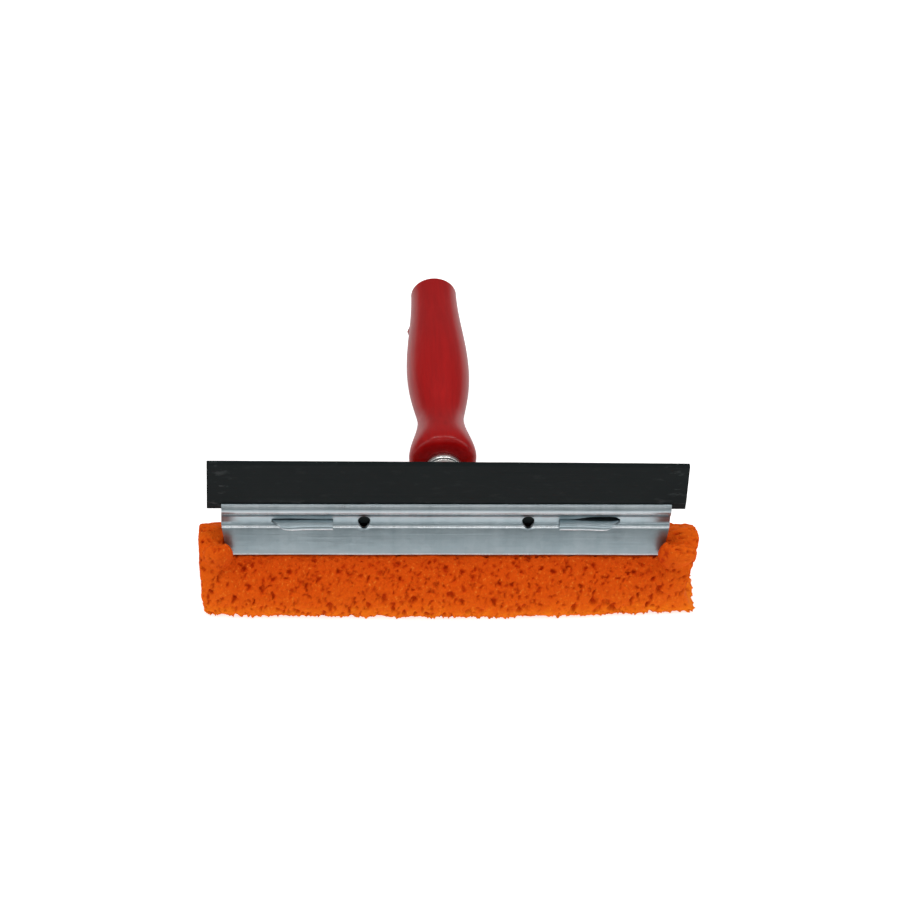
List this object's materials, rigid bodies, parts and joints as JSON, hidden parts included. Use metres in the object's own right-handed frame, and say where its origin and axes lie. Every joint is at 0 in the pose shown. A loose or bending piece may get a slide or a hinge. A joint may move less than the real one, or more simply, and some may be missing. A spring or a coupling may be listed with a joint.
{
  "type": "window scrubber",
  "caption": "Window scrubber with a rubber wiping blade above and a porous sponge strip below, clamped between pressed steel plates on a turned wooden handle.",
  "frame": {"origin": "middle of the sponge's flat wiping face, on which the tool stands", "axes": "+X along the blade, +Y from the head back along the handle, +Z from the sponge up to the blade"},
  "size_m": [0.207, 0.1638, 0.0735],
  "materials": {
    "galvanised_sheet": "satin",
    "black_rubber": "matte",
    "orange_sponge": "matte",
    "ferrule_steel": "satin",
    "pin_steel": "satin",
    "red_lacquered_wood": "gloss"
  },
  "bodies": {
    "root": {"front_plate": "galvanised_sheet", "back_plate": "galvanised_sheet", "rubber_blade": "black_rubber", "sponge": "orange_sponge", "yoke": "galvanised_sheet", "ferrule": "ferrule_steel", "tang_pin": "pin_steel", "handle": "red_lacquered_wood"}
  },
  "joints": []
}
